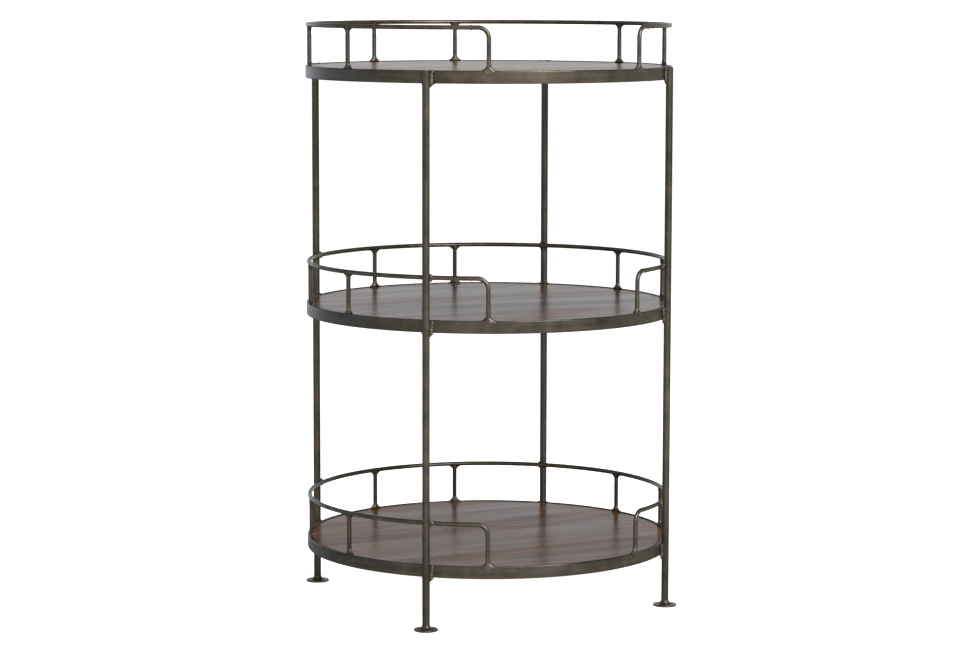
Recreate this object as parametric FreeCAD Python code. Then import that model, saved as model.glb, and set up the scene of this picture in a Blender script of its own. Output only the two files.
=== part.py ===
import FreeCAD, Part
import math
import os

# A round table of three tiers. Four upright legs carry three hoops of flat bar, each hoop holds a
# wooden shelf, and each has a low gallery of rod round its rim that is open at the front.
# Millimetres, +Z up. The origin is on the floor under the table's centre, and the gallery opens to -Y.
# Angles are in degrees from the front, -Y, and grow towards +X, which is the right-hand side.

# Tiers, from the floor up
TIERS = ("lower", "middle", "upper")
LOWER_HOOP_HEIGHT = 70.0
TIER_SPACING = 323.0

# Hoops of flat bar on edge
HOOP_OUTER_DIAMETER = 500.0
HOOP_BAR_HEIGHT = 17.0
HOOP_BAR_THICKNESS = 4.0
HOOP_EDGE_ROUND = 1.5

# Legs of round bar outside the hoops, on round foot plates
LEG_DIAMETER = 10.0
LEG_ANGLE = 45.0
LEG_TOP_CHAMFER = 0.8
FOOT_DIAMETER = 32.0
FOOT_THICKNESS = 2.5
FOOT_EDGE_ROUND = 0.8

# Gallery of rod: a rail on posts, with a bent-down end on each side of the opening
ROD_DIAMETER = 6.0
GALLERY_HEIGHT = 58.0
POST_OFFSET_ANGLE = 30.0
RAIL_END_ANGLE = 26.5
RAIL_END_BEND_RADIUS = 14.0
RAIL_END_TAIL = 9.0

# Shelves of boards glued edge to edge, screwed to lugs inside the hoop
BOARD_COUNT = 4
SHELF_DROP = 1.0
SHELF_CLEARANCE = 1.0
SHELF_EDGE_CHAMFER = 1.5
LUG_THICKNESS = 3.0
LUG_WIDTH = 20.0
LUG_LENGTH = 28.0
SCREW_DIAMETER = 4.0
SCREW_HOLE_CLEARANCE = 0.5
SCREW_HEAD_DIAMETER = 8.0
SCREW_HEAD_HEIGHT = 2.4
SCREW_POINT_LENGTH = 3.0
SCREW_COVER = 3.0

# Welds
WELD_TOE = 0.3
WELD_OVERHANG = 0.4
POST_FOOT_WELD_REACH = 4.4
POST_FOOT_WELD_RISE = 6.0
POST_HEAD_WELD_REACH = 3.2
POST_HEAD_WELD_RISE = 7.0
POST_HEAD_WELD_LAP = 2.0
FOOT_WELD_REACH = 5.5
FOOT_WELD_RISE = 5.5
LEG_WELD_RADIUS = 3.6
LEG_WELD_TIP_RADIUS = 2.4
LEG_WELD_STANDOFF = 1.2
LEG_WELD_END_GAP = 0.5
LEG_WELD_RUN_OUT = 5.0
CROSSING_WELD_RADIUS = 2.8
CROSSING_WELD_STANDOFF = 1.0
SEAM_WELD_WIDTH = 3.0

# Sizes that follow from those above. Heights here are from a hoop's bottom edge.
HOOP_OUTER_RADIUS = HOOP_OUTER_DIAMETER / 2
HOOP_INNER_RADIUS = HOOP_OUTER_RADIUS - HOOP_BAR_THICKNESS
ROD_RADIUS = ROD_DIAMETER / 2
LEG_RADIUS = LEG_DIAMETER / 2
RAIL_RADIUS = HOOP_OUTER_RADIUS - ROD_RADIUS
RAIL_HEIGHT = HOOP_BAR_HEIGHT + GALLERY_HEIGHT - ROD_RADIUS
LEG_CIRCLE_RADIUS = HOOP_OUTER_RADIUS + LEG_RADIUS
SHELF_RADIUS = HOOP_INNER_RADIUS - SHELF_CLEARANCE
SHELF_THICKNESS = HOOP_BAR_HEIGHT - LUG_THICKNESS - SHELF_DROP
LUG_HOLE_RADIUS = HOOP_INNER_RADIUS - LUG_LENGTH + LUG_WIDTH / 2
RAIL_BEND_ANGLE = RAIL_END_ANGLE + math.degrees(math.atan2(RAIL_END_BEND_RADIUS, RAIL_RADIUS))
RAIL_SEAM_ANGLE = RAIL_BEND_ANGLE + math.degrees(RAIL_END_TAIL / RAIL_RADIUS)
RAIL_END_RADIUS = math.hypot(RAIL_RADIUS, RAIL_END_BEND_RADIUS)
SIDES = {"left": -1, "right": 1}
LEGS = {"front": LEG_ANGLE, "back": 180.0 - LEG_ANGLE}
POSTS = {
    "side_front": LEGS["front"] + POST_OFFSET_ANGLE,
    "side_back": LEGS["back"] - POST_OFFSET_ANGLE,
    "back": LEGS["back"] + POST_OFFSET_ANGLE,
}
HOOP_HEIGHTS = {tier: LOWER_HOOP_HEIGHT + count * TIER_SPACING for count, tier in enumerate(TIERS)}

ORIGIN = FreeCAD.Vector(0, 0, 0)
UP = FreeCAD.Vector(0, 0, 1)
RIGHT = FreeCAD.Vector(1, 0, 0)


def front(radius, height):
    """The point at the front of the table, at this radius and height."""
    return FreeCAD.Vector(0, -radius, height)


def turned(shape, angle):
    """A copy of a shape made at the front, turned about the table's axis."""
    copy = shape.copy()
    copy.rotate(ORIGIN, UP, angle)
    return copy


def raised(shape, height):
    return shape.translated(UP * height)


def mirrored(shape):
    return shape.mirror(ORIGIN, RIGHT)


def disc(radius, bottom, height):
    return Part.makeCylinder(radius, height, UP * bottom)


def ring(inner, outer, bottom, height):
    return disc(outer, bottom, height).cut(disc(inner, bottom, height))


def round_edges(shape, height=None):
    """The circular edges of a shape, or only those at one height."""
    edges = [edge for edge in shape.Edges if isinstance(edge.Curve, Part.Circle)]
    if height is None:
        return edges
    return [edge for edge in edges if abs(edge.CenterOfMass.z - height) < 1e-6]


def revolved(points_and_arcs):
    """A solid turned about the Z axis from a closed outline of lines and arcs in the XZ plane."""
    face = Part.Face(Part.Wire([piece.toShape() for piece in points_and_arcs]))
    return face.revolve(ORIGIN, UP, 360)


def section_point(x, z):
    return FreeCAD.Vector(x, 0, z)


def fillet_ring(inner, reach, rise):
    """A hollow-faced weld round a rod at the origin: wide on the floor, and upright where it ends."""
    across = reach - WELD_TOE
    height = rise - WELD_TOE
    hollow_radius = (across ** 2 + height ** 2) / (2 * across)
    half_sweep = math.atan2(across, height)
    corner = section_point(inner, 0)
    foot = section_point(inner + reach, 0)
    foot_toe = section_point(inner + reach, WELD_TOE)
    hollow = section_point(inner + WELD_TOE + hollow_radius * (1 - math.cos(half_sweep)),
                           rise - hollow_radius * math.sin(half_sweep))
    head_toe = section_point(inner + WELD_TOE, rise)
    head = section_point(inner, rise)
    return revolved([
        Part.LineSegment(corner, foot),
        Part.LineSegment(foot, foot_toe),
        Part.Arc(foot_toe, hollow, head_toe),
        Part.LineSegment(head_toe, head),
        Part.LineSegment(head, corner),
    ])


def tapered_bead(tip_radius, head_radius, length):
    """A bead on the Z axis between two balls, the small one at the origin and the large one above it."""
    tilt = math.asin((head_radius - tip_radius) / length)
    half_tip = (math.pi / 2 - tilt) / 2
    half_head = (math.pi / 2 + tilt) / 2
    tip = section_point(0, -tip_radius)
    tip_side = section_point(tip_radius * math.sin(half_tip), -tip_radius * math.cos(half_tip))
    tip_edge = section_point(tip_radius * math.cos(tilt), -tip_radius * math.sin(tilt))
    head_edge = section_point(head_radius * math.cos(tilt), length - head_radius * math.sin(tilt))
    head_side = section_point(head_radius * math.sin(half_head), length + head_radius * math.cos(half_head))
    head = section_point(0, length + head_radius)
    return revolved([
        Part.Arc(tip, tip_side, tip_edge),
        Part.LineSegment(tip_edge, head_edge),
        Part.Arc(head_edge, head_side, head),
        Part.LineSegment(head, tip),
    ])


def groove_offset(standoff):
    """How far to the side a bead lies that keeps this distance from both the leg and the wall it touches."""
    return math.sqrt(4 * LEG_RADIUS * standoff)


# The shapes below are made for a hoop whose bottom edge is at height 0, and raised to each tier.

def hoop():
    bar = ring(HOOP_INNER_RADIUS, HOOP_OUTER_RADIUS, 0, HOOP_BAR_HEIGHT)
    return bar.makeFillet(HOOP_EDGE_ROUND, round_edges(bar))


def rail_ring():
    """The whole circle that the rail follows, for cutting what meets it."""
    return Part.makeTorus(RAIL_RADIUS, ROD_RADIUS, UP * RAIL_HEIGHT)


def rail_section(angle):
    """The rod's round section where the rail passes this angle, facing along the rail."""
    centre = turned(Part.Vertex(front(RAIL_RADIUS, RAIL_HEIGHT)), angle).Point
    circle = Part.Circle(centre, UP.cross(centre), ROD_RADIUS)
    return Part.Face(Part.Wire(circle.toShape()))


def rail():
    return rail_section(RAIL_SEAM_ANGLE).revolve(ORIGIN, UP, 360 - 2 * RAIL_SEAM_ANGLE)


def rail_end():
    """The bent-down end on the right: a tail along the rail, a bend, and a drop to the hoop."""
    tail = rail_section(RAIL_SEAM_ANGLE).revolve(ORIGIN, UP, RAIL_BEND_ANGLE - RAIL_SEAM_ANGLE)
    start = rail_section(RAIL_BEND_ANGLE)
    radial = FreeCAD.Vector(start.CenterOfMass.x, start.CenterOfMass.y, 0)
    bend_centre = start.CenterOfMass - UP * RAIL_END_BEND_RADIUS
    bend = start.revolve(bend_centre, radial, 90)
    drop_length = RAIL_HEIGHT - RAIL_END_BEND_RADIUS - HOOP_BAR_HEIGHT
    drop_foot = turned(Part.Vertex(front(RAIL_END_RADIUS, HOOP_BAR_HEIGHT)), RAIL_END_ANGLE).Point
    drop = Part.makeCylinder(ROD_RADIUS, drop_length, drop_foot)
    return tail.fuse([bend, drop]).removeSplitter()


def post():
    """A post at the front, its head cut to seat under the rail."""
    rod = Part.makeCylinder(ROD_RADIUS, RAIL_HEIGHT - HOOP_BAR_HEIGHT, front(RAIL_RADIUS, HOOP_BAR_HEIGHT))
    return rod.cut(rail_ring())


def rim_band(radius):
    """The band over the hoop that the weld of a rod at this radius keeps to."""
    half_width = ROD_RADIUS + WELD_OVERHANG
    return ring(radius - half_width, radius + half_width, 0, RAIL_HEIGHT)


def rod_foot_weld(radius):
    """The weld round a rod that stands on the hoop at the front, at this radius."""
    weld = fillet_ring(ROD_RADIUS, POST_FOOT_WELD_REACH, POST_FOOT_WELD_RISE)
    return weld.translated(front(radius, HOOP_BAR_HEIGHT)).common(rim_band(radius))


def post_head_weld():
    """The weld under the rail, round the head of a post at the front."""
    weld = fillet_ring(ROD_RADIUS, POST_HEAD_WELD_REACH, POST_HEAD_WELD_RISE)
    weld = weld.mirror(ORIGIN, UP)
    lap_height = RAIL_HEIGHT - ROD_RADIUS + POST_HEAD_WELD_LAP
    return weld.translated(front(RAIL_RADIUS, lap_height)).common(rim_band(RAIL_RADIUS)).cut(rail_ring())


def seam_weld():
    """The raised bead round the joint between the rail and its right-hand end."""
    half_angle = math.degrees(SEAM_WELD_WIDTH / RAIL_RADIUS) / 2
    start = rail_section(RAIL_SEAM_ANGLE - half_angle)
    rim = Part.Circle(start.CenterOfMass, UP.cross(start.CenterOfMass), ROD_RADIUS + WELD_OVERHANG)
    band = Part.Face(Part.Wire(rim.toShape())).cut(start)
    return band.revolve(ORIGIN, UP, 2 * half_angle)


def leg_at_tier():
    """The stretch of a leg at the front that welds of one tier touch."""
    bottom = -LEG_WELD_RUN_OUT
    return Part.makeCylinder(LEG_RADIUS, RAIL_HEIGHT + ROD_DIAMETER - bottom, front(LEG_CIRCLE_RADIUS, bottom))


def leg_hoop_weld():
    """The bead on the right of a leg at the front, in the groove between leg and hoop. It runs out below."""
    tip_height = LEG_WELD_TIP_RADIUS - LEG_WELD_RUN_OUT
    length = HOOP_BAR_HEIGHT - LEG_WELD_END_GAP - LEG_WELD_RADIUS - tip_height
    bead = tapered_bead(LEG_WELD_TIP_RADIUS, LEG_WELD_RADIUS, length)
    place = FreeCAD.Vector(groove_offset(LEG_WELD_STANDOFF), -HOOP_OUTER_RADIUS - LEG_WELD_STANDOFF, tip_height)
    return bead.translated(place).cut(leg_at_tier()).cut(disc(HOOP_OUTER_RADIUS, 0, HOOP_BAR_HEIGHT))


def leg_rail_weld():
    """The bead on the right of a leg at the front, where the rail passes behind the leg."""
    side = groove_offset(CROSSING_WELD_STANDOFF)
    centre = FreeCAD.Vector(side, -HOOP_OUTER_RADIUS - CROSSING_WELD_STANDOFF, RAIL_HEIGHT)
    return Part.makeSphere(CROSSING_WELD_RADIUS, centre).cut(leg_at_tier()).cut(rail_ring())


def screw():
    """A pan-head screw at the front, driven up through a lug into the shelf."""
    head = SCREW_HEAD_DIAMETER / 2
    shank = SCREW_DIAMETER / 2
    tip = LUG_THICKNESS + SHELF_THICKNESS - SCREW_COVER
    dome_radius = (head ** 2 + SCREW_HEAD_HEIGHT ** 2) / (2 * SCREW_HEAD_HEIGHT)
    dome_centre = dome_radius - SCREW_HEAD_HEIGHT
    half_dome = math.atan2(head, dome_centre) / 2
    crown = section_point(0, -SCREW_HEAD_HEIGHT)
    crown_side = section_point(dome_radius * math.sin(half_dome),
                               dome_centre - dome_radius * math.cos(half_dome))
    head_rim = section_point(head, 0)
    neck = section_point(shank, 0)
    shoulder = section_point(shank, tip - SCREW_POINT_LENGTH)
    point = section_point(0, tip)
    body = revolved([
        Part.Arc(crown, crown_side, head_rim),
        Part.LineSegment(head_rim, neck),
        Part.LineSegment(neck, shoulder),
        Part.LineSegment(shoulder, point),
        Part.LineSegment(point, crown),
    ])
    return body.translated(front(LUG_HOLE_RADIUS, 0))


def lug():
    """A round-ended lug at the front, inside the hoop and level with its bottom edge."""
    round_end = Part.makeCylinder(LUG_WIDTH / 2, LUG_THICKNESS, front(LUG_HOLE_RADIUS, 0))
    stem = Part.makeBox(LUG_WIDTH, HOOP_OUTER_RADIUS - LUG_HOLE_RADIUS, LUG_THICKNESS,
                        FreeCAD.Vector(-LUG_WIDTH / 2, -HOOP_OUTER_RADIUS, 0))
    hole = Part.makeCylinder((SCREW_DIAMETER + SCREW_HOLE_CLEARANCE) / 2, LUG_THICKNESS,
                             front(LUG_HOLE_RADIUS, 0))
    blank = stem.fuse(round_end).removeSplitter()
    return blank.common(disc(HOOP_INNER_RADIUS, 0, LUG_THICKNESS)).cut(hole)


def boards(screws):
    """The shelf's boards, which run from left to right, with the screws' holes under them."""
    panel = disc(SHELF_RADIUS, LUG_THICKNESS, SHELF_THICKNESS)
    width = 2 * SHELF_RADIUS / BOARD_COUNT
    seams = [count * width - SHELF_RADIUS for count in range(1, BOARD_COUNT)]
    edges = [-HOOP_OUTER_RADIUS, *seams, HOOP_OUTER_RADIUS]
    made = []
    for near, far in zip(edges, edges[1:]):
        strip = Part.makeBox(HOOP_OUTER_DIAMETER, far - near, HOOP_BAR_HEIGHT,
                             FreeCAD.Vector(-HOOP_OUTER_RADIUS, near, 0))
        board = panel.common(strip)
        made.append(board.makeChamfer(SHELF_EDGE_CHAMFER, round_edges(board)).cut(screws))
    return made


def leg():
    """A leg at the front, from its foot plate to the top edge of the upper hoop."""
    top = HOOP_HEIGHTS[TIERS[-1]] + HOOP_BAR_HEIGHT
    bar = Part.makeCylinder(LEG_RADIUS, top - FOOT_THICKNESS, front(LEG_CIRCLE_RADIUS, FOOT_THICKNESS))
    return bar.makeChamfer(LEG_TOP_CHAMFER, round_edges(bar, top))


def foot():
    plate = Part.makeCylinder(FOOT_DIAMETER / 2, FOOT_THICKNESS, front(LEG_CIRCLE_RADIUS, 0))
    return plate.makeFillet(FOOT_EDGE_ROUND, round_edges(plate))


def foot_weld():
    weld = fillet_ring(LEG_RADIUS, FOOT_WELD_REACH, FOOT_WELD_RISE)
    return weld.translated(front(LEG_CIRCLE_RADIUS, FOOT_THICKNESS))


def both_sides(shape):
    return [shape, mirrored(shape)]


def all_round(shape, angles):
    """Copies of a shape made at the front, at each of these angles on both sides of the table."""
    return [turned(shape, sign * angle) for angle in angles for sign in SIDES.values()]


def save(node, shapes):
    shape = shapes[0] if len(shapes) == 1 else Part.makeCompound(shapes)
    shape.exportStep(f"parts/{node}.step")


def save_legs():
    for place, angle in LEGS.items():
        for side, sign in SIDES.items():
            save(f"leg_{place}_{side}", [turned(leg(), sign * angle)])
            save(f"foot_{place}_{side}", [turned(foot(), sign * angle)])
    save("foot_welds", all_round(foot_weld(), LEGS.values()))


def tier_nodes():
    """The pieces of one tier by name, at height 0. A name with {} takes the tier's own name."""
    screws = all_round(screw(), LEGS.values())
    ends = dict(zip(("right", "left"), both_sides(rail_end())))
    nodes = {
        "hoop_{}": [hoop()],
        "shelf_{}": boards(screws),
        "shelf_lugs_{}": all_round(lug(), LEGS.values()),
        "shelf_screws_{}": screws,
        "rail_{}": [rail()],
        "rail_seam_welds_{}": both_sides(seam_weld()),
    }
    for side, sign in SIDES.items():
        nodes[f"rail_end_{{}}_{side}"] = [ends[side]]
        for place, angle in POSTS.items():
            nodes[f"post_{{}}_{place}_{side}"] = [turned(post(), sign * angle)]
    foot_welds = all_round(rod_foot_weld(RAIL_RADIUS), POSTS.values())
    end_welds = all_round(rod_foot_weld(RAIL_END_RADIUS), [RAIL_END_ANGLE])
    head_welds = all_round(post_head_weld(), POSTS.values())
    nodes["post_welds_{}"] = foot_welds + end_welds + head_welds
    nodes["leg_welds_{}"] = [weld for bead in both_sides(leg_hoop_weld())
                             for weld in all_round(bead, LEGS.values())]
    return nodes


def crossing_welds():
    """The beads where legs pass the rail of a tier, which they do below the upper tier only."""
    return [weld for bead in both_sides(leg_rail_weld()) for weld in all_round(bead, LEGS.values())]


def save_tiers():
    nodes = tier_nodes()
    crossings = crossing_welds()
    for tier, height in HOOP_HEIGHTS.items():
        for name, shapes in nodes.items():
            passed_by_legs = name == "leg_welds_{}" and tier != TIERS[-1]
            pieces = shapes + crossings if passed_by_legs else shapes
            save(name.format(tier), [raised(piece, height) for piece in pieces])


os.makedirs("parts", exist_ok=True)
save_legs()
save_tiers()
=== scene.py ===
import math
import random

import bmesh
import bpy
from mathutils import Matrix, Vector


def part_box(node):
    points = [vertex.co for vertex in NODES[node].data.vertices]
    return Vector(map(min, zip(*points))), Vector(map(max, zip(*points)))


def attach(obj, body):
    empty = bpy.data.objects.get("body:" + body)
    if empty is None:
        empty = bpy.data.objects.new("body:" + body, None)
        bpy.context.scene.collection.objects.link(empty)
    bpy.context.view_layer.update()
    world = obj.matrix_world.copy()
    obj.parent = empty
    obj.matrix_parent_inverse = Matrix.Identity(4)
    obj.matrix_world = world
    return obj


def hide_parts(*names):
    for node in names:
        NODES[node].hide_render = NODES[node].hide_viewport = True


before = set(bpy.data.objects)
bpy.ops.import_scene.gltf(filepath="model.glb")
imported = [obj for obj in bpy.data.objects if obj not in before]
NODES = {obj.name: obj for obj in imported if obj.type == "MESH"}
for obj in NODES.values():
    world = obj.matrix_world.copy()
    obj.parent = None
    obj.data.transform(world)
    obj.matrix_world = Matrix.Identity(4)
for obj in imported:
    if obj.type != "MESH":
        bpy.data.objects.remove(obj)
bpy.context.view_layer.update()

MILLIMETRE = 0.001

# How the CAD nodes of the tiers, posts and legs are named. A side's number is its sign along X.
TIERS = ("lower", "middle", "upper")
POSTS = ("side_front", "side_back", "back")
LEGS = ("front", "back")
SIDES = {"left": -1, "right": 1}

# The camera, fitted to the photograph. The sensor is in millimetres and the other lengths in metres.
# Azimuth is from the front, -Y, towards +X.
PHOTO_WIDTH = 980
FOCAL_PIXELS = 2965.5
SENSOR_WIDTH = 36.0
CAMERA_AZIMUTH = math.radians(-26.488)
CAMERA_DISTANCE = 4.0613
CAMERA_HEIGHT = 0.8525
CAMERA_PITCH = math.radians(6.725)
CAMERA_TURN = math.radians(0.032)
CAMERA_ROLL = math.radians(0.128)
CAMERA_HEADING = CAMERA_TURN - CAMERA_AZIMUTH
CAMERA_REACH = 100.0

# The studio's light. Each part is brightest in one direction, so many degrees to the right of straight
# ahead of the camera, and grows between two cosines from that direction. Then come its colour and how much
# of it there is by elevation in degrees.
ROOM = ((-60.0, 0.80), (-36.0, 1.40), (-22.0, 0.90), (-12.0, 0.55), (-6.0, 0.88), (4.0, 1.0), (20.0, 0.35))
FRONT = ((-14.0, 0.26), (-6.0, 0.44), (0.0, 0.60), (12.0, 0.95), (45.0, 0.2))
BACK = ((-11.0, 0.0), (-5.0, 1.0), (4.0, 1.0), (20.0, 0.3))
LEFT = ((-8.5, 0.0), (-4.0, 1.0), (4.0, 1.0), (20.0, 0.3))
RIGHT = ((-4.5, 0.0), (-1.5, 1.0), (4.0, 1.0), (12.0, 0.0))
WORLD_PARTS = (
    (90.0, -5.0, -1.0, (0.27, 0.27, 0.255), ROOM),
    (90.0, -0.7, 0.5, (0.16, 0.15, 0.13), ROOM),
    (186.0, 0.35, 1.0, (0.68, 0.65, 0.58), FRONT),
    (-10.0, 0.60, 0.97, (0.86, 0.92, 1.0), BACK),
    (-70.0, 0.60, 1.0, (0.16, 0.27, 0.54), LEFT),
    (60.0, 0.80, 1.0, (0.34, 0.32, 0.30), RIGHT),
)

# The soft boxes: name, azimuth and elevation in degrees, distance and size in metres, power in watts, and
# whether shiny surfaces mirror the lamp
SOFT_BOXES = (
    ("key", 8.0, 30.0, 6.0, 3.2, 300.0, True),
    ("top", -20.0, 85.0, 2.6, 2.4, 45.0, False),
)
LIGHT_TARGET = Vector((0, 0, 0.4))

# The white floor and the wall round it, lengths in metres
FLOOR_RADIUS = 40.0
FLOOR_SIDES = 64
BACKDROP_HEIGHT = 30.0
FLOOR_COLOUR = (0.85, 0.85, 0.85, 1)
FLOOR_ROUGHNESS = 0.9
FLOOR_GLOW = 0.97

# Linear colours of the iron, its welds and the zinc, and where a ramp from dark to light has them
IRON_DARK = (0.068, 0.060, 0.049)
IRON_MIDDLE = (0.108, 0.094, 0.074)
IRON_LIGHT = (0.155, 0.134, 0.102)
IRON_STOPS = (0.34, 0.50, 0.66)
WELD_LIGHT = (0.190, 0.162, 0.120)
WELD_STOPS = (0.32, 0.50, 0.68)
WELD_SPECK = (0.30, 0.27, 0.22, 1)
ZINC_DARK = (0.34, 0.34, 0.32)
ZINC_LIGHT = (0.52, 0.52, 0.50)
ZINC_STOPS = (0.3, 0.7)

# How metallic the lacquered iron is, from 0 to 1
IRON_METALLIC = 0.8

# Layers of noise on the metals: scale, detail and roughness
IRON_CLOUD = (42.0, 4.0, 0.62)
IRON_STREAK = (1.0, 3.0, 0.6)
IRON_GRAIN = (900.0, 2.0, 0.6)
WELD_CLOUD = (240.0, 3.0, 0.65)
WELD_GRAIN = (620.0, 2.0, 0.6)
ZINC_GRAIN = (700.0, 3.0, 0.6)

# How strongly the layers are weighed in tone and roughness, and the strength and depth in metres of bumps
CLOUD_TONE = 0.6
STREAK_TONE = 0.4
TONE_ROUGHNESS = 0.7
GRAIN_ROUGHNESS = 0.3
STREAK_BUMP = (0.25, 0.0003)
GRAIN_BUMP = (0.2, 0.0001)
WELD_BUMP = (0.2, 0.0004)

# From a layer's range to another value: low, high, value at low, value at high. The bars give the iron's
# two values.
SPECK_SHARE = (0.66, 0.78, 0.0, 1.0)
WELD_ROUGHNESS = (0.35, 0.70, 0.46, 0.28)
ZINC_ROUGHNESS = (0.3, 0.7, 0.28, 0.45)
IRON_ROUGHNESS_RANGE = (0.35, 0.65)

# The bars: stretch of the rolling marks, share of the iron's tone, least and greatest roughness
FLAT_BAR = ((9.0, 9.0, 190.0), 0.89, 0.32, 0.46)
ROUND_BAR = ((230.0, 230.0, 9.0), 0.97, 0.30, 0.44)
# The rod's higher share of the tone is partly painted light, lifting the rails that the lamps leave dark at
# the back of the tiers
ROD = ((110.0, 110.0, 110.0), 1.12, 0.26, 0.38)

# Painted light and shade on the uprights: shares of their tone by height in metres, lighter between the
# lower two shelves and darker near the floor and below the highest shelf
UPRIGHT_PAINTED_LIGHT = (
    (0.00, 0.66), (0.07, 0.74), (0.16, 1.05), (0.30, 1.14), (0.42, 1.0), (0.60, 0.78), (0.74, 1.02),
)

# Shelf sizes that the wood's grain follows, in metres, and what makes the boards differ
SHELF_LOW, SHELF_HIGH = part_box("shelf_lower")
TIER_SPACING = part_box("shelf_middle")[0].z - SHELF_LOW.z
LAST_TIER = len(TIERS) - 1
BOARD_COUNT = 4
BOARD_WIDTH = (SHELF_HIGH.y - SHELF_LOW.y) / BOARD_COUNT
BOARD_SEED_START = 14.0
BOARD_SEED_STEP = 99.0
BOARD_SHIFT = 40.0

# Linear colours of the wood, and where a ramp from dark to light has them
WOOD_DARK = (0.055, 0.023, 0.012)
WOOD_MIDDLE = (0.112, 0.050, 0.027)
WOOD_LIGHT = (0.180, 0.086, 0.048)
WOOD_STOPS = (0.34, 0.50, 0.66)

# Layers of noise in the wood: stretch along and across the grain, detail, roughness and distortion
FIGURE = (3.0, 17.0, 4.0, 0.58, 1.0)
PATCH = (2.6, 9.0, 2.0, 0.5, 0.0)
FIBRE = (7.0, 240.0, 3.0, 0.55, 0.0)
PORES = (26.0, 900.0, 2.0, 0.5, 0.0)
RINGS = (1.6, 26.0, 2.0, 0.5, 1.5)

# How strongly these layers and chance, board by board, are weighed in the wood's tone and gloss
BASE_TONE = 0.15
FIGURE_TONE = 0.46
FIBRE_TONE = 0.14
WORN_TONE = 0.12
BOARD_TONE = 0.10
FIGURE_GLOSS = 0.4
FIBRE_GLOSS = 0.15

# From a layer's range to a share: low, high, share at low, share at high
WORN = (0.40, 0.60, -0.5, 0.5)
PORE_SHADE = (0.36, 0.50, 0.5, 1.0)
RING_SHADE = (0.0, 0.025, 0.55, 1.0)
KNOT_SHADE = (0.04, 0.09, 0.25, 1.0)
VARNISH = (0.175, 0.375, 0.54, 0.83)

# Rings lie where their noise has this level. A knot is in a cell whose random value is above the rarity.
RING_LEVEL = 0.5
KNOT_STRETCH = (0.7, 1.0, 1.0)
KNOT_SCALE = 28.0
KNOT_RARITY = 0.9

# The surfaces of the wood and of the varnish on it. A bump has a strength and a depth in metres.
WOOD_ROUGHNESS = 0.7
PORE_BUMP = (0.12, 0.0003)
VARNISH_ROUGHNESS = 0.26
VARNISH_IOR = 1.45
VARNISH_BUMP = (0.06, 0.0003)

# At the lowest and the highest tier: shares of the wood's tone, which are painted light and shade (the
# lowest lifted where the shelves above shade it, the highest darkened where the lamps light it fully),
# shares of its varnish, and what worn patches take
WOOD_TIER_PAINTED_LIGHT = (1.26, 0.75)
WOOD_TIER_GLOSS = (0.91, 1.12)
WOOD_PATCHES = (0.48, 0.05)

# Shares of the varnish at the shelves' front and back edges, for the two lower tiers and for the highest
WOOD_WEAR_FRONT = (0.84, 1.0)
WOOD_WEAR_BACK = (1.06, 0.98)

# Radii of the hoops, the rods and the rails' middle lines, in millimetres. The frame's meshes follow round
# forms closely but not exactly, so what is measured on them is rounded.
MEASURE_DECIMALS = 2
HOOP_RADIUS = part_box("hoop_upper")[1].x / MILLIMETRE
POST_LOW, POST_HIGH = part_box("post_upper_back_right")
ROD_RADIUS = round((POST_HIGH.x - POST_LOW.x) / 2 / MILLIMETRE, MEASURE_DECIMALS)
RAIL_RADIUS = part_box("rail_upper")[1].y / MILLIMETRE - ROD_RADIUS

# Weld metal as lumps, in millimetres. A size is half a lump's length along the rim, outwards and up. Jitter
# is how far chance moves a lump, with shares of it for those three directions and for the size.
LUMP_DETAIL = 3
SPREAD_JITTER = (1.0, 0.6, 0.6)
SIZE_JITTER = 0.2
CALM_JITTER = 0.2
SKIN_VOXEL = 0.45
MELT_FACTOR = 0.5
MELT_STEPS = 4
POST_SEED = 10
LEG_SEED = 20

# The collars round the ends of the rods
FLARE_STEPS = 10
FLARE_POWER = 3
FLARE_SKIN = 0.5
FLARE_SINK = 0.3
FLARE_THICKNESS = 0.10
FLARE_JITTER = 0.1
FOOT_FLARE_REACH = 5.8
FOOT_FLARE_RISE = 8.5
FOOT_FLARE_INSET = 0.3
FOOT_FLARE_LIFT = 0.4
HEAD_FLARE_REACH = 5.6
HEAD_FLARE_RISE = 7.5
HEAD_FLARE_DROP = 2.9

# The toes on both sides of a rod's foot
TOE_OFFSET = 5.4
TOE_INSET = 0.4
TOE_LIFT = 0.3
TOE_SIZE = (2.4, 2.0, 1.0)
TOE_JITTER = 0.7

# The spill below a rail's end: drops below the rim, with sizes
SPILL_INSET = 1.6
SPILL_LUMPS = ((2.2, (13.0, 2.2, 2.6)), (3.6, (8.5, 2.3, 3.6)), (5.2, (5.0, 2.2, 4.4)))

# The seam between a rail and its end, by the degrees from the end's foot
SEAM_TURN = 5.3
SEAM_SIZE = (2.6, 3.5, 3.5)

# The bead beside a leg, wider on the side nearer the front. A gain is what is added on the way up.
BEAD_WIDE = 1.25
BEAD_NARROW = 0.65
BEAD_START = 1.0
BEAD_STOP = 3.0
BEAD_STEP = 3.1
BEAD_REACH = 3.0
BEAD_REACH_GAIN = 1.2
BEAD_OFFSET = 4.7
BEAD_OFFSET_GAIN = 1.0
BEAD_OUTSET = 1.3
BEAD_DEPTH = 3.0
BEAD_HEIGHT = 2.8
BEAD_JITTER = 0.45

# The cap on that bead, and its run-out under the hoop. A loss is taken for each millimetre of drop.
CAP_OFFSET = 5.8
CAP_OUTSET = 1.5
CAP_DROP = 2.0
CAP_SIZE = (3.6, 3.2, 2.6)
CAP_JITTER = 0.3
RUNOUT_DROPS = (0.6, 2.2, 3.8)
RUNOUT_REACH = 4.2
RUNOUT_REACH_LOSS = 0.7
RUNOUT_OFFSET = 5.2
RUNOUT_OFFSET_LOSS = 0.4
RUNOUT_OUTSET = 1.6
RUNOUT_DEPTH = 2.4
RUNOUT_HEIGHT = 1.8

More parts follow.
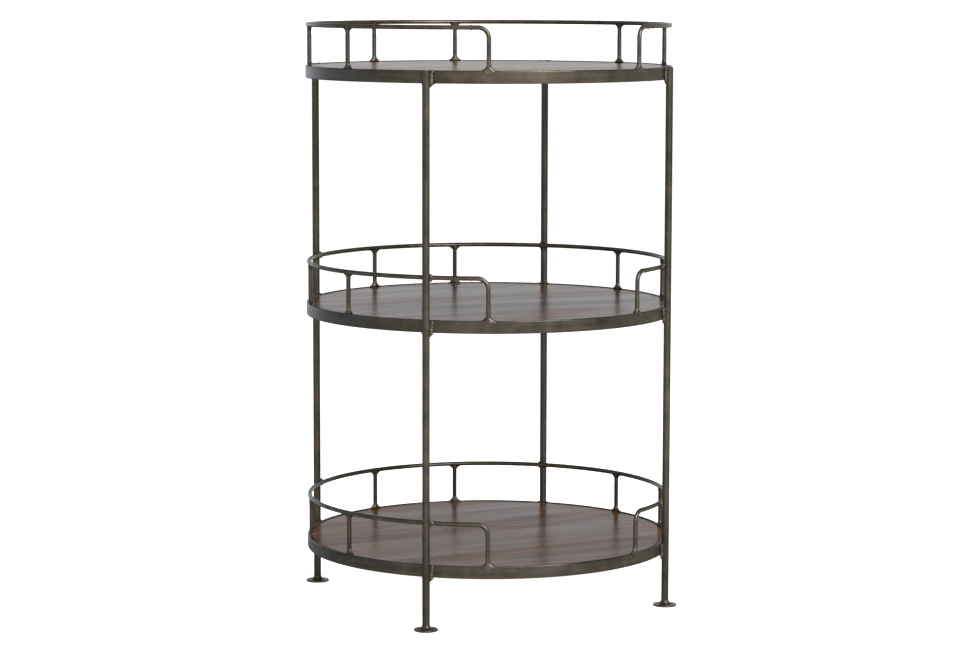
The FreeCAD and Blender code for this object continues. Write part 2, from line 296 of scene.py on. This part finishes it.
# The bead where a rail passes a leg: offset to the side, outset from the hoop, rise, size and jitter
CROSSING_LUMPS = (
    (4.8, -0.6, 0.0, (3.2, 3.2, 3.3), 0.4),
    (4.0, 0.2, 3.0, (2.2, 2.6, 2.2), 0.5),
    (4.0, 0.2, -3.2, (2.2, 2.6, 2.4), 0.5),
)

# The sockets of a Mix node that carry colours
MIX_FIRST = 6
MIX_SECOND = 7
MIX_RESULT = 2


class Graph:
    """Adds nodes to a tree. Inputs are values or sockets, and a new node's output socket is returned."""

    def __init__(self, tree):
        self.tree = tree

    def feed(self, socket, value):
        if isinstance(value, bpy.types.NodeSocket):
            self.tree.links.new(value, socket)
        else:
            socket.default_value = value

    def add(self, kind, inputs=None, output=0, **settings):
        node = self.tree.nodes.new(kind)
        for name, value in settings.items():
            setattr(node, name, value)
        for socket, value in (inputs or {}).items():
            self.feed(node.inputs[socket], value)
        return node.outputs[output]

    def stretch(self, vector, scale):
        return self.add("ShaderNodeMapping", {"Vector": vector, "Scale": scale})

    def noise(self, vector, scale, detail, roughness, distortion=0.0):
        return self.add("ShaderNodeTexNoise", {"Vector": vector, "Scale": scale, "Detail": detail,
                                               "Roughness": roughness, "Distortion": distortion})

    def math(self, operation, first, second=0.0, third=0.0):
        return self.add("ShaderNodeMath", {0: first, 1: second, 2: third}, operation=operation)

    def vector(self, operation, first, second, output=0):
        return self.add("ShaderNodeVectorMath", {0: first, 1: second}, output, operation=operation)

    def product(self, first, *others):
        for other in others:
            first = self.math("MULTIPLY", first, other)
        return first

    def weigh(self, *pairs):
        """The sum of values, each times its share."""
        total, *others = [self.math("MULTIPLY", value, share) for value, share in pairs]
        for other in others:
            total = self.math("ADD", total, other)
        return total

    def steps(self, value, start, step):
        """How many steps a value is past the start."""
        return self.math("DIVIDE", self.math("SUBTRACT", value, start), step)

    def ramp(self, factor, *stops, interpolation="LINEAR"):
        """Colours at positions, blended between."""
        node = self.tree.nodes.new("ShaderNodeValToRGB")
        node.color_ramp.interpolation = interpolation
        for count, (position, colour) in enumerate(stops):
            stop = node.color_ramp.elements[count] if count < 2 else node.color_ramp.elements.new(position)
            stop.position = position
            stop.color = (*colour, 1)
        self.feed(node.inputs["Fac"], factor)
        return node.outputs["Color"]

    def between(self, factor, low, high, to_low, to_high, interpolation="LINEAR"):
        return self.add("ShaderNodeMapRange", {"Value": factor, "From Min": low, "From Max": high,
                                               "To Min": to_low, "To Max": to_high},
                        interpolation_type=interpolation)

    def mix(self, factor, first, second, blend="MIX"):
        node = self.tree.nodes.new("ShaderNodeMix")
        node.data_type = "RGBA"
        node.blend_type = blend
        self.feed(node.inputs["Factor"], factor)
        self.feed(node.inputs[MIX_FIRST], first)
        self.feed(node.inputs[MIX_SECOND], second)
        return node.outputs[MIX_RESULT]

    def bump(self, height, strength, distance, normal=None):
        inputs = {"Height": height, "Strength": strength, "Distance": distance}
        if normal is not None:
            inputs["Normal"] = normal
        return self.add("ShaderNodeBump", inputs)


class Finish(Graph):
    """A new material, built outwards from its Principled shader."""

    def __init__(self, name):
        self.material = bpy.data.materials.new(name)
        self.material.use_nodes = True
        super().__init__(self.material.node_tree)
        self.shader = self.tree.nodes["Principled BSDF"]

    def place(self):
        """Object coordinates, in metres."""
        return self.add("ShaderNodeTexCoord", output="Object")

    def surface(self, **inputs):
        """Feeds the shader's sockets. A name's underscores stand for spaces."""
        for name, value in inputs.items():
            self.feed(self.shader.inputs[name.replace("_", " ")], value)
        return self.material


def iron_material(name, streaks, tone_with_painted_light, smoothest, roughest, painted_light=()):
    """Dark lacquered iron. streaks stretches the rolling marks along the bar; the tone share after it
    scales the iron's tone, for the rods partly as painted light.

    The shares by height at the end are painted light and shade on the tone."""
    finish = Finish(name)
    tones = [[tone_with_painted_light * part for part in tone] for tone in (IRON_DARK, IRON_MIDDLE, IRON_LIGHT)]
    here = finish.place()
    cloud = finish.noise(here, *IRON_CLOUD)
    streak = finish.noise(finish.stretch(here, streaks), *IRON_STREAK)
    grain = finish.noise(here, *IRON_GRAIN)
    tone = finish.weigh((cloud, CLOUD_TONE), (streak, STREAK_TONE))
    colour = finish.ramp(tone, *zip(IRON_STOPS, tones))
    if painted_light:
        # Painted light and shade by height: the tone is multiplied by the share given for each height
        height = finish.add("ShaderNodeSeparateXYZ", {0: here}, output="Z")
        shade = finish.ramp(height, *((level, (part, part, part)) for level, part in painted_light))
        colour = finish.mix(1.0, colour, shade, "MULTIPLY")
    mixed = finish.weigh((tone, TONE_ROUGHNESS), (grain, GRAIN_ROUGHNESS))
    roughness = finish.between(mixed, *IRON_ROUGHNESS_RANGE, smoothest, roughest)
    normal = finish.bump(streak, *STREAK_BUMP, finish.bump(grain, *GRAIN_BUMP))
    return finish.surface(Base_Color=colour, Metallic=IRON_METALLIC, Roughness=roughness, Normal=normal)


def weld_material():
    """Weld metal under the same lacquer: rougher in tone, with small bright specks."""
    finish = Finish("weld_metal")
    here = finish.place()
    cloud = finish.noise(here, *WELD_CLOUD)
    grain = finish.noise(here, *WELD_GRAIN)
    colour = finish.ramp(cloud, *zip(WELD_STOPS, (IRON_DARK, IRON_MIDDLE, WELD_LIGHT)))
    colour = finish.mix(finish.between(grain, *SPECK_SHARE), colour, WELD_SPECK)
    roughness = finish.between(grain, *WELD_ROUGHNESS)
    normal = finish.bump(cloud, *WELD_BUMP)
    return finish.surface(Base_Color=colour, Metallic=IRON_METALLIC, Roughness=roughness, Normal=normal)


def wood_material():
    """Dark brown boards under a satin varnish that is worn in patches, the grain along X. Painted light and
    shade make the lowest tier's tone lighter and the highest tier's darker.
    """
    finish = Finish("varnished_wood")
    here = finish.place()
    split = finish.add("ShaderNodeSeparateXYZ", {0: here}).node
    across = finish.steps(split.outputs["Y"], SHELF_LOW.y, BOARD_WIDTH)
    tier = finish.math("ROUND", finish.steps(split.outputs["Z"], SHELF_LOW.z, TIER_SPACING))
    seed = finish.math("MULTIPLY_ADD", tier, BOARD_SEED_STEP, BOARD_SEED_START)
    board = finish.math("ADD", finish.math("FLOOR", across), seed)
    chance = finish.add("ShaderNodeTexWhiteNoise", {"W": board}, noise_dimensions="1D")
    shift = finish.product(chance, BOARD_SHIFT)
    local = finish.vector("ADD", here, finish.add("ShaderNodeCombineXYZ", {0: shift, 1: shift, 2: shift}))

    def layer(along, sideways, *noise):
        return finish.noise(finish.stretch(local, (along, sideways, sideways)), 1.0, *noise)

    figure = layer(*FIGURE)
    fibre = layer(*FIBRE)
    pores = layer(*PORES)
    worn = finish.between(layer(*PATCH), *WORN)
    shares = (figure, FIGURE_TONE), (fibre, FIBRE_TONE), (worn, WORN_TONE), (chance, BOARD_TONE)
    tone = finish.math("ADD", finish.weigh(*shares), BASE_TONE)
    colour = finish.ramp(tone, *zip(WOOD_STOPS, (WOOD_DARK, WOOD_MIDDLE, WOOD_LIGHT)))

    from_ring = finish.math("ABSOLUTE", finish.math("SUBTRACT", layer(*RINGS), RING_LEVEL))
    # The tier's share in this shade is painted light and shade, lighter on the lowest shelf and darker on
    # the highest
    shade = finish.product(finish.between(pores, *PORE_SHADE), finish.between(from_ring, *RING_SHADE),
                           finish.between(tier, 0.0, LAST_TIER, *WOOD_TIER_PAINTED_LIGHT))
    cells = {"Vector": finish.stretch(local, KNOT_STRETCH), "Scale": KNOT_SCALE}
    knot = finish.add("ShaderNodeTexVoronoi", cells, output="Distance")
    pick = finish.add("ShaderNodeSeparateColor", {0: knot.node.outputs["Color"]})
    plain = finish.math("SUBTRACT", 1.0, finish.math("GREATER_THAN", pick, KNOT_RARITY))
    shade = finish.product(shade, finish.math("MAXIMUM", finish.between(knot, *KNOT_SHADE), plain))
    grey = finish.add("ShaderNodeCombineColor", {0: shade, 1: shade, 2: shade})
    colour = finish.mix(1.0, colour, grey, "MULTIPLY")

    gloss = finish.weigh((figure, FIGURE_GLOSS), (fibre, FIBRE_GLOSS))
    loss = finish.product(worn, finish.between(tier, 0.0, LAST_TIER, *WOOD_PATCHES))
    front = finish.between(tier, 1.0, LAST_TIER, *WOOD_WEAR_FRONT)
    back = finish.between(tier, 1.0, LAST_TIER, *WOOD_WEAR_BACK)
    coat = finish.product(finish.between(gloss, *VARNISH),
                          finish.between(tier, 0.0, LAST_TIER, *WOOD_TIER_GLOSS),
                          finish.math("SUBTRACT", 1.0, loss),
                          finish.between(across, 0.0, BOARD_COUNT, front, back))
    return finish.surface(Base_Color=colour, Roughness=WOOD_ROUGHNESS, Specular_IOR_Level=0.0,
                          Normal=finish.bump(pores, *PORE_BUMP), Coat_Weight=coat,
                          Coat_Roughness=VARNISH_ROUGHNESS, Coat_IOR=VARNISH_IOR,
                          Coat_Normal=finish.bump(fibre, *VARNISH_BUMP))


def zinc_material():
    finish = Finish("zinc_plated_steel")
    tone = finish.noise(finish.place(), *ZINC_GRAIN)
    colour = finish.ramp(tone, *zip(ZINC_STOPS, (ZINC_DARK, ZINC_LIGHT)))
    roughness = finish.between(tone, *ZINC_ROUGHNESS)
    return finish.surface(Base_Color=colour, Metallic=1.0, Roughness=roughness)


def floor_material():
    finish = Finish("pale_floor")
    return finish.surface(Base_Color=FLOOR_COLOUR, Roughness=FLOOR_ROUGHNESS, Specular_IOR_Level=0.0,
                          Emission_Color=(1, 1, 1, 1), Emission_Strength=FLOOR_GLOW)


class Puddle:
    """Weld metal as a heap of round lumps, in millimetres, that melt into one skin."""

    def __init__(self, name, seed):
        self.name = name
        self.shape = bmesh.new()
        self.random = random.Random(seed)

    def vary(self, amount):
        return self.random.uniform(-amount, amount)

    def lump(self, angle, along, radius, height, size, jitter):
        """A lump at this angle, radius and height. along is how far to the right of the angle it lies."""
        place = Matrix.Rotation(math.radians(angle), 4, "Z")
        off = [self.vary(share * jitter) for share in SPREAD_JITTER]
        spot = Vector((along, -radius, height)) + Vector(off)
        scale = Matrix.Diagonal((*[half * (1 + self.vary(SIZE_JITTER * jitter)) for half in size], 1))
        metres = Matrix.Scale(MILLIMETRE, 4)
        bmesh.ops.create_icosphere(self.shape, subdivisions=LUMP_DETAIL, radius=1.0,
                                   matrix=metres @ place @ Matrix.Translation(spot) @ scale)

    def finish(self, material, *nodes):
        """The heap as one skin that stands for these CAD nodes."""
        mesh = bpy.data.meshes.new(self.name)
        self.shape.to_mesh(mesh)
        self.shape.free()
        piece = bpy.data.objects.new(self.name, mesh)
        bpy.context.collection.objects.link(piece)
        skin = piece.modifiers.new("skin", "REMESH")
        skin.mode = "VOXEL"
        skin.voxel_size = SKIN_VOXEL * MILLIMETRE
        skin.use_smooth_shade = True
        melt = piece.modifiers.new("melt", "SMOOTH")
        melt.factor = MELT_FACTOR
        melt.iterations = MELT_STEPS
        mesh.materials.append(material)
        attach(piece, "root")
        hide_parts(*nodes)


def bearing(right, ahead):
    """The angle of a place, in degrees from the front towards +X."""
    return round(math.degrees(math.atan2(right, ahead)), MEASURE_DECIMALS)


def angle_of(node):
    """The angle of a CAD node's middle."""
    low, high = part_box(node)
    middle = (low + high) / 2
    return bearing(middle.x, -middle.y)


def end_foot(node, turn):
    """The angle and radius of a rail end's foot, at its box's front corner nearest the table's middle."""
    low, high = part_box(node)
    inner = low.x if turn > 0 else high.x
    right = inner / MILLIMETRE + turn * ROD_RADIUS
    ahead = -low.y / MILLIMETRE - ROD_RADIUS
    return bearing(right, ahead), round(math.hypot(right, ahead), MEASURE_DECIMALS)


def heights(tier):
    """The heights of a hoop's bottom and rim and of a rail's middle line, in millimetres."""
    low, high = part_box(f"hoop_{tier}")
    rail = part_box(f"rail_{tier}")[1]
    return low.z / MILLIMETRE, high.z / MILLIMETRE, rail.z / MILLIMETRE - ROD_RADIUS


def flare(puddle, angle, radius, start, way, reach, rise):
    """A concave collar round a rod, wide and thin where it starts. way is 1 up the rod and -1 down it."""
    for step in range(FLARE_STEPS):
        share = step / (FLARE_STEPS - 1)
        spread = (1 - share) ** FLARE_POWER
        skin = ROD_RADIUS + FLARE_SKIN * (1 - share) - FLARE_SINK * share
        thick = rise * (FLARE_THICKNESS + FLARE_THICKNESS * share)
        size = (skin + reach * spread, skin, thick)
        puddle.lump(angle, 0, radius, start + way * rise * share, size, FLARE_JITTER)


def rod_foot(puddle, angle, radius, rim):
    """The flare round a rod that stands on the hoop, whose top edge is at height rim, and its two toes."""
    start = rim + FOOT_FLARE_LIFT
    flare(puddle, angle, radius - FOOT_FLARE_INSET, start, 1, FOOT_FLARE_REACH, FOOT_FLARE_RISE)
    for side in (-1, 1):
        puddle.lump(angle, side * TOE_OFFSET, radius - TOE_INSET, rim + TOE_LIFT, TOE_SIZE, TOE_JITTER)


def spill(puddle, angle, rim):
    """Weld that has run down the hoop's outer face below a rod."""
    for drop, size in SPILL_LUMPS:
        puddle.lump(angle, 0, HOOP_RADIUS - SPILL_INSET, rim - drop, size, CALM_JITTER)


def post_head(puddle, angle, rail):
    """The flare under the rail at a post's head."""
    flare(puddle, angle, RAIL_RADIUS, rail - HEAD_FLARE_DROP, -1, HEAD_FLARE_REACH, HEAD_FLARE_RISE)


def leg_bead(puddle, angle, side, bottom, top, wide):
    """The rippled bead in the groove between a leg and the hoop, and its run-out under the hoop."""
    height = bottom + BEAD_START
    while height < top - BEAD_STOP:
        share = (height - bottom) / (top - bottom)
        offset = side * (BEAD_OFFSET + BEAD_OFFSET_GAIN * share)
        size = ((BEAD_REACH + BEAD_REACH_GAIN * share) * wide, BEAD_DEPTH, BEAD_HEIGHT)
        puddle.lump(angle, offset, HOOP_RADIUS + BEAD_OUTSET, height, size, BEAD_JITTER)
        height += BEAD_STEP
    size = (CAP_SIZE[0] * wide, *CAP_SIZE[1:])
    puddle.lump(angle, side * CAP_OFFSET, HOOP_RADIUS + CAP_OUTSET, top - CAP_DROP, size, CAP_JITTER)
    for drop in RUNOUT_DROPS:
        offset = side * (RUNOUT_OFFSET - RUNOUT_OFFSET_LOSS * drop)
        size = ((RUNOUT_REACH - RUNOUT_REACH_LOSS * drop) * wide, RUNOUT_DEPTH, RUNOUT_HEIGHT)
        puddle.lump(angle, offset, HOOP_RADIUS + RUNOUT_OUTSET, bottom - drop, size, CALM_JITTER)


def crossing_bead(puddle, angle, side, rail, wide):
    """The bead where the rail passes behind a leg."""
    for offset, outset, rise, (reach, depth, height), jitter in CROSSING_LUMPS:
        size = (reach * wide, depth, height)
        puddle.lump(angle, side * offset, HOOP_RADIUS + outset, rail + rise, size, jitter)


def make_post_welds(tier, seed, metal):
    """The welds at the posts, the rail's ends and its seams."""
    _, rim, rail = heights(tier)
    puddle = Puddle(f"post_weld_metal_{tier}", seed)
    for post in POSTS:
        for side in SIDES:
            angle = angle_of(f"post_{tier}_{post}_{side}")
            rod_foot(puddle, angle, RAIL_RADIUS, rim)
            post_head(puddle, angle, rail)
    for side, turn in SIDES.items():
        angle, radius = end_foot(f"rail_end_{tier}_{side}", turn)
        rod_foot(puddle, angle, radius, rim)
        spill(puddle, angle, rim)
        puddle.lump(angle + turn * SEAM_TURN, 0, RAIL_RADIUS, rail, SEAM_SIZE, CALM_JITTER)
    puddle.finish(metal, f"post_welds_{tier}", f"rail_seam_welds_{tier}")


def make_leg_welds(tier, seed, metal):
    """The beads beside the legs at the hoop and, below the upper tier, where the rail passes them."""
    bottom, rim, rail = heights(tier)
    puddle = Puddle(f"leg_weld_metal_{tier}", seed)
    for leg in LEGS:
        for hand, turn in SIDES.items():
            angle = angle_of(f"leg_{leg}_{hand}")
            for side in (-1, 1):
                wide = BEAD_WIDE if side == -turn else BEAD_NARROW
                leg_bead(puddle, angle, side, bottom, rim, wide)
                if tier != TIERS[-1]:
                    crossing_bead(puddle, angle, side, rail, wide)
    puddle.finish(metal, f"leg_welds_{tier}")


def make_welds(metal):
    for count, tier in enumerate(TIERS):
        make_post_welds(tier, POST_SEED + count, metal)
        make_leg_welds(tier, LEG_SEED + count, metal)


def dress_nodes(weld):
    hoop_iron = iron_material("iron_flat_bar", *FLAT_BAR)
    upright_iron = iron_material("iron_round_bar", *ROUND_BAR, UPRIGHT_PAINTED_LIGHT)
    rod_iron = iron_material("iron_rod", *ROD)
    wood = wood_material()
    zinc = zinc_material()
    for name, node in NODES.items():
        finish = rod_iron
        if "weld" in name:
            finish = weld
        elif name.startswith(("hoop_", "shelf_lugs")):
            finish = hoop_iron
        elif name.startswith(("leg_", "post_")):
            finish = upright_iron
        elif name.startswith("shelf_screws"):
            finish = zinc
        elif name.startswith("shelf_"):
            finish = wood
        for slot in node.material_slots:
            slot.material = finish


def soft_box(name, azimuth, elevation, distance, size, power, mirrored):
    """A round lamp that faces the table."""
    turn, tilt = math.radians(azimuth), math.radians(elevation)
    away = Vector((math.sin(turn) * math.cos(tilt), -math.cos(turn) * math.cos(tilt), math.sin(tilt)))
    data = bpy.data.lights.new(name, "AREA")
    data.shape = "DISK"
    data.size = size
    data.energy = power
    lamp = bpy.data.objects.new(name, data)
    lamp.location = LIGHT_TARGET + away * distance
    lamp.rotation_euler = away.to_track_quat("Z", "Y").to_euler()
    lamp.visible_glossy = mirrored
    bpy.context.collection.objects.link(lamp)


def make_world():
    """A studio that is bright behind the table, warm behind the camera and bluish on the left."""
    world = bpy.context.scene.world or bpy.data.worlds.new("studio")
    bpy.context.scene.world = world
    world.use_nodes = True
    graph = Graph(world.node_tree)
    direction = graph.add("ShaderNodeTexCoord", output="Generated")
    upright = graph.add("ShaderNodeSeparateXYZ", {0: direction}, output="Z")
    height = graph.between(upright, -1.0, 1.0, 0.0, 1.0)
    parts = []
    for turn, low, high, colour, elevations in WORLD_PARTS:
        angle = CAMERA_HEADING + math.radians(turn)
        middle = (math.sin(angle), math.cos(angle), 0)
        facing = graph.vector("DOT_PRODUCT", direction, middle, output="Value")
        share = graph.between(facing, low, high, 0.0, 1.0, "SMOOTHSTEP")
        stops = [((1 + math.sin(math.radians(elevation))) / 2, [part * tone for tone in colour])
                 for elevation, part in elevations]
        fade = graph.ramp(height, *stops, interpolation="EASE")
        parts.append(graph.add("ShaderNodeVectorMath", {0: fade, "Scale": share}, operation="SCALE"))
    light = parts[0]
    for part in parts[1:]:
        light = graph.vector("ADD", light, part)
    graph.feed(world.node_tree.nodes["Background"].inputs["Color"], light)


def make_studio():
    bpy.ops.mesh.primitive_circle_add(vertices=FLOOR_SIDES, radius=FLOOR_RADIUS, fill_type="NGON")
    floor = bpy.context.object
    floor.name = "floor"
    bpy.ops.mesh.primitive_cylinder_add(vertices=FLOOR_SIDES, radius=FLOOR_RADIUS, depth=BACKDROP_HEIGHT,
                                        end_fill_type="NOTHING", location=(0, 0, BACKDROP_HEIGHT / 2))
    backdrop = bpy.context.object
    backdrop.name = "backdrop"
    backdrop.visible_diffuse = False
    backdrop.visible_shadow = False
    pale = floor_material()
    for surface in (floor, backdrop):
        surface.data.materials.append(pale)
        surface.visible_glossy = False
    make_world()
    for lamp in SOFT_BOXES:
        soft_box(*lamp)
    bpy.context.scene.view_settings.view_transform = "Standard"


def make_camera():
    data = bpy.data.cameras.new("camera")
    data.sensor_width = SENSOR_WIDTH
    data.lens = FOCAL_PIXELS * SENSOR_WIDTH / PHOTO_WIDTH
    data.clip_end = CAMERA_REACH
    camera = bpy.data.objects.new("camera", data)
    ahead = Vector((math.sin(CAMERA_HEADING) * math.cos(CAMERA_PITCH),
                    math.cos(CAMERA_HEADING) * math.cos(CAMERA_PITCH),
                    -math.sin(CAMERA_PITCH)))
    level = Vector((math.cos(CAMERA_HEADING), -math.sin(CAMERA_HEADING), 0))
    above = level.cross(ahead)
    right = level * math.cos(CAMERA_ROLL) + above * math.sin(CAMERA_ROLL)
    up = above * math.cos(CAMERA_ROLL) - level * math.sin(CAMERA_ROLL)
    place = Vector((math.sin(CAMERA_AZIMUTH) * CAMERA_DISTANCE,
                    -math.cos(CAMERA_AZIMUTH) * CAMERA_DISTANCE,
                    CAMERA_HEIGHT))
    axes = Matrix((right, up, -ahead)).transposed()
    camera.matrix_world = Matrix.Translation(place) @ axes.to_4x4()
    bpy.context.collection.objects.link(camera)
    bpy.context.scene.camera = camera


weld_metal = weld_material()
dress_nodes(weld_metal)
make_welds(weld_metal)
make_studio()
make_camera()
